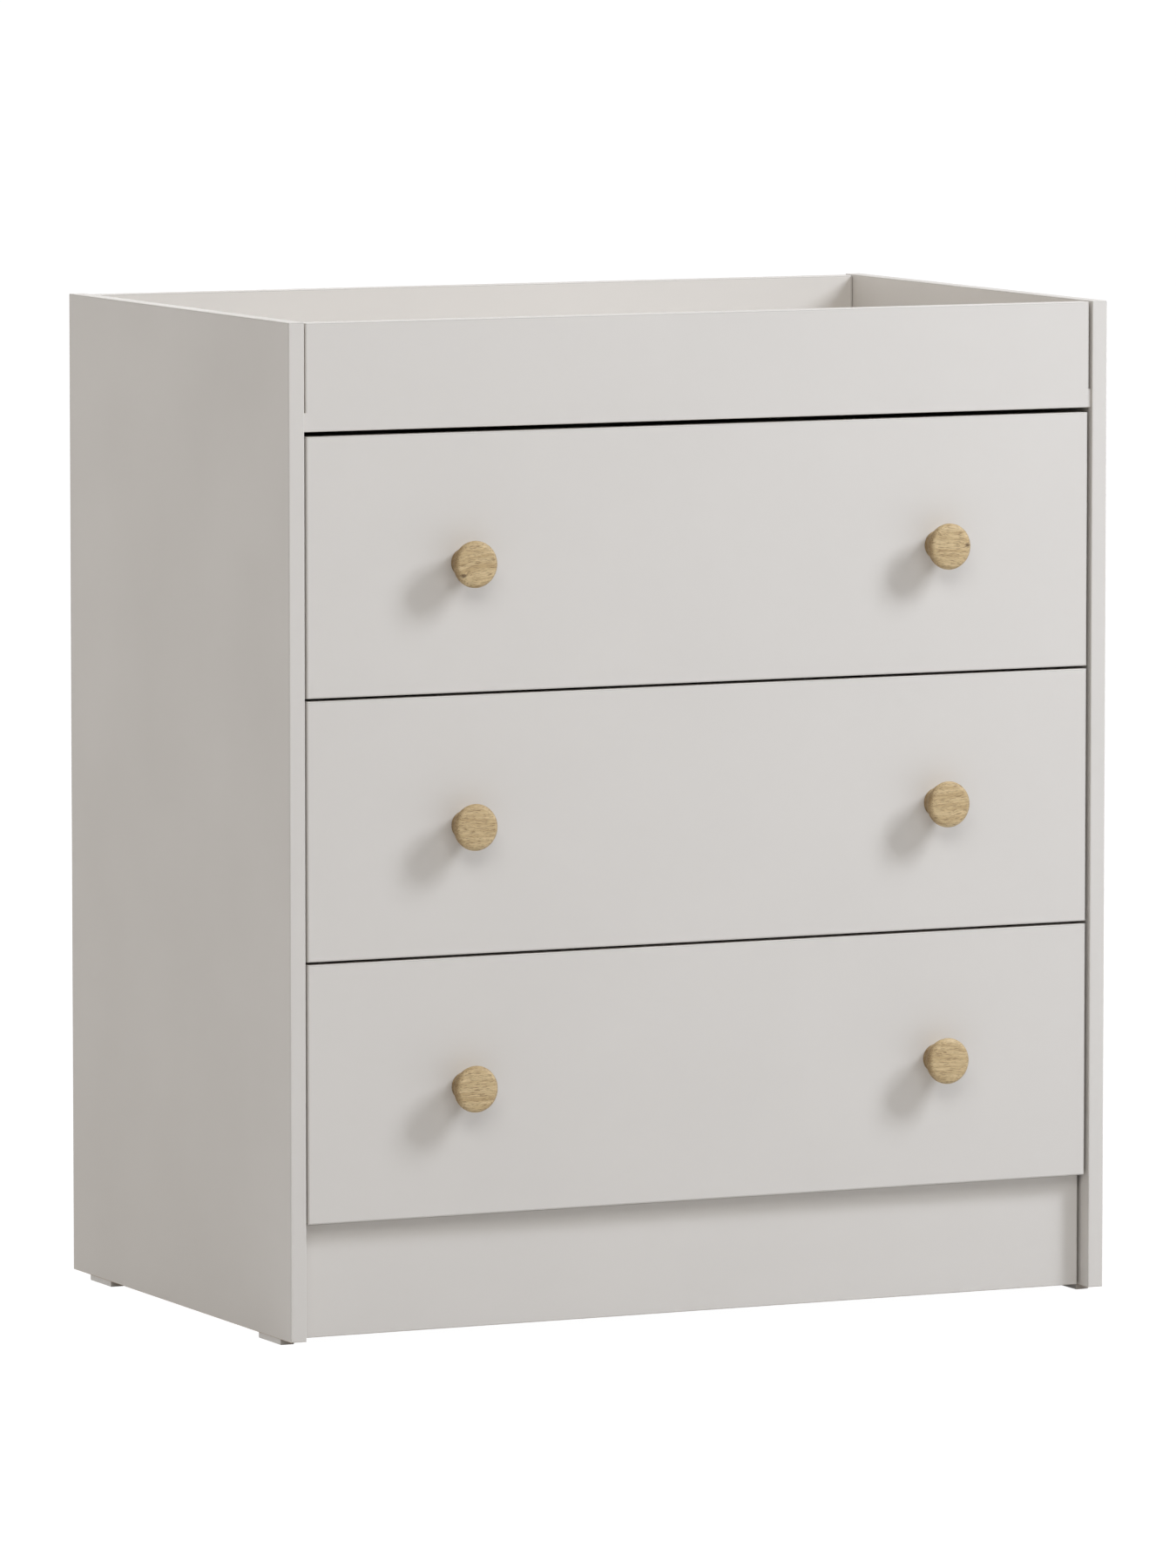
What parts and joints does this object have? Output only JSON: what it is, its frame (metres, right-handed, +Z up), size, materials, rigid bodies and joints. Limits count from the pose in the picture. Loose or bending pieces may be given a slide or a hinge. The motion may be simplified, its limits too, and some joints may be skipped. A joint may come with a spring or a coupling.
{
  "type": "changing dresser",
  "caption": "Changing dresser with a walled changing tray on top, plain drawer fronts on roller runners, turned wooden knobs, a set-back plinth and flat glides.",
  "frame": {"origin": "on the floor under the middle of the dresser, half way between the knobs and the back edges", "axes": "+X to the right seen from the front, +Y to the back, +Z up; the drawers open towards -Y"},
  "size_m": [0.87, 0.5676, 0.976],
  "materials": {
    "foil_board": "matt foil on particle board",
    "drawer_board": "matt foil on particle board",
    "hardboard": "painted on the inner face, bare brown behind",
    "oak": "clear matt lacquer",
    "runner_steel": "satin epoxy coat",
    "nylon": "moulded",
    "glide_plastic": "moulded",
    "block_plastic": "moulded",
    "zinc": "bright zinc plate"
  },
  "bodies": {
    "carcass": {"side_panel_left": "foil_board", "side_panel_right": "foil_board", "changing_board": "foil_board", "tray_front_lip": "foil_board", "tray_back_board": "foil_board", "plinth_board": "foil_board", "rear_rail": "foil_board", "back_panel": "hardboard", "glide_front_left": "glide_plastic", "glide_front_right": "glide_plastic", "glide_rear_left": "glide_plastic", "glide_rear_right": "glide_plastic", "corner_blocks": "block_plastic", "carcass_joint_fittings": "zinc", "carcass_screws": "zinc", "upper_cabinet_runner_left": "runner_steel", "upper_cabinet_runner_right": "runner_steel", "middle_cabinet_runner_left": "runner_steel", "middle_cabinet_runner_right": "runner_steel", "lower_cabinet_runner_left": "runner_steel", "lower_cabinet_runner_right": "runner_steel"},
    "upper_drawer": {"upper_drawer_front": "foil_board", "upper_drawer_side_left": "drawer_board", "upper_drawer_side_right": "drawer_board", "upper_drawer_back": "drawer_board", "upper_drawer_bottom": "hardboard", "upper_drawer_runner_left": "runner_steel", "upper_drawer_runner_right": "runner_steel", "upper_knob_left": "oak", "upper_knob_right": "oak", "upper_drawer_cam_fittings": "zinc", "upper_drawer_screws": "zinc"},
    "upper_front_rollers": {"upper_front_rollers": "nylon"},
    "upper_rear_rollers": {"upper_rear_rollers": "nylon"},
    "middle_drawer": {"middle_drawer_front": "foil_board", "middle_drawer_side_left": "drawer_board", "middle_drawer_side_right": "drawer_board", "middle_drawer_back": "drawer_board", "middle_drawer_bottom": "hardboard", "middle_drawer_runner_left": "runner_steel", "middle_drawer_runner_right": "runner_steel", "middle_knob_left": "oak", "middle_knob_right": "oak", "middle_drawer_cam_fittings": "zinc", "middle_drawer_screws": "zinc"},
    "middle_front_rollers": {"middle_front_rollers": "nylon"},
    "middle_rear_rollers": {"middle_rear_rollers": "nylon"},
    "lower_drawer": {"lower_drawer_front": "foil_board", "lower_drawer_side_left": "drawer_board", "lower_drawer_side_right": "drawer_board", "lower_drawer_back": "drawer_board", "lower_drawer_bottom": "hardboard", "lower_drawer_runner_left": "runner_steel", "lower_drawer_runner_right": "runner_steel", "lower_knob_left": "oak", "lower_knob_right": "oak", "lower_drawer_cam_fittings": "zinc", "lower_drawer_screws": "zinc"},
    "lower_front_rollers": {"lower_front_rollers": "nylon"},
    "lower_rear_rollers": {"lower_rear_rollers": "nylon"}
  },
  "joints": [
    {"name": "upper_drawer_slide", "type": "slide", "parent": "carcass", "child": "upper_drawer", "axis": [0, -1, 0], "range_m": [0, 0.34]},
    {"name": "upper_front_rollers_spin", "type": "hinge", "parent": "carcass", "child": "upper_front_rollers", "pos_m": [0, -0.2212, 0.6469], "axis": [1, 0, 0], "continuous": true},
    {"name": "upper_rear_rollers_spin", "type": "hinge", "parent": "upper_drawer", "child": "upper_rear_rollers", "pos_m": [0, 0.1988, 0.6469], "axis": [1, 0, 0], "continuous": true},
    {"name": "middle_drawer_slide", "type": "slide", "parent": "carcass", "child": "middle_drawer", "axis": [0, -1, 0], "range_m": [0, 0.34]},
    {"name": "middle_front_rollers_spin", "type": "hinge", "parent": "carcass", "child": "middle_front_rollers", "pos_m": [0, -0.2212, 0.3961], "axis": [1, 0, 0], "continuous": true},
    {"name": "middle_rear_rollers_spin", "type": "hinge", "parent": "middle_drawer", "child": "middle_rear_rollers", "pos_m": [0, 0.1988, 0.3961], "axis": [1, 0, 0], "continuous": true},
    {"name": "lower_drawer_slide", "type": "slide", "parent": "carcass", "child": "lower_drawer", "axis": [0, -1, 0], "range_m": [0, 0.34]},
    {"name": "lower_front_rollers_spin", "type": "hinge", "parent": "carcass", "child": "lower_front_rollers", "pos_m": [0, -0.2212, 0.1453], "axis": [1, 0, 0], "continuous": true},
    {"name": "lower_rear_rollers_spin", "type": "hinge", "parent": "lower_drawer", "child": "lower_rear_rollers", "pos_m": [0, 0.1988, 0.1453], "axis": [1, 0, 0], "continuous": true}
  ],
  "couplings": [
    {"joint": "upper_front_rollers_spin", "follows": "upper_drawer_slide", "rad_per_m": 100},
    {"joint": "upper_rear_rollers_spin", "follows": "upper_drawer_slide", "rad_per_m": 100},
    {"joint": "middle_front_rollers_spin", "follows": "middle_drawer_slide", "rad_per_m": 100},
    {"joint": "middle_rear_rollers_spin", "follows": "middle_drawer_slide", "rad_per_m": 100},
    {"joint": "lower_front_rollers_spin", "follows": "lower_drawer_slide", "rad_per_m": 100},
    {"joint": "lower_rear_rollers_spin", "follows": "lower_drawer_slide", "rad_per_m": 100}
  ]
}
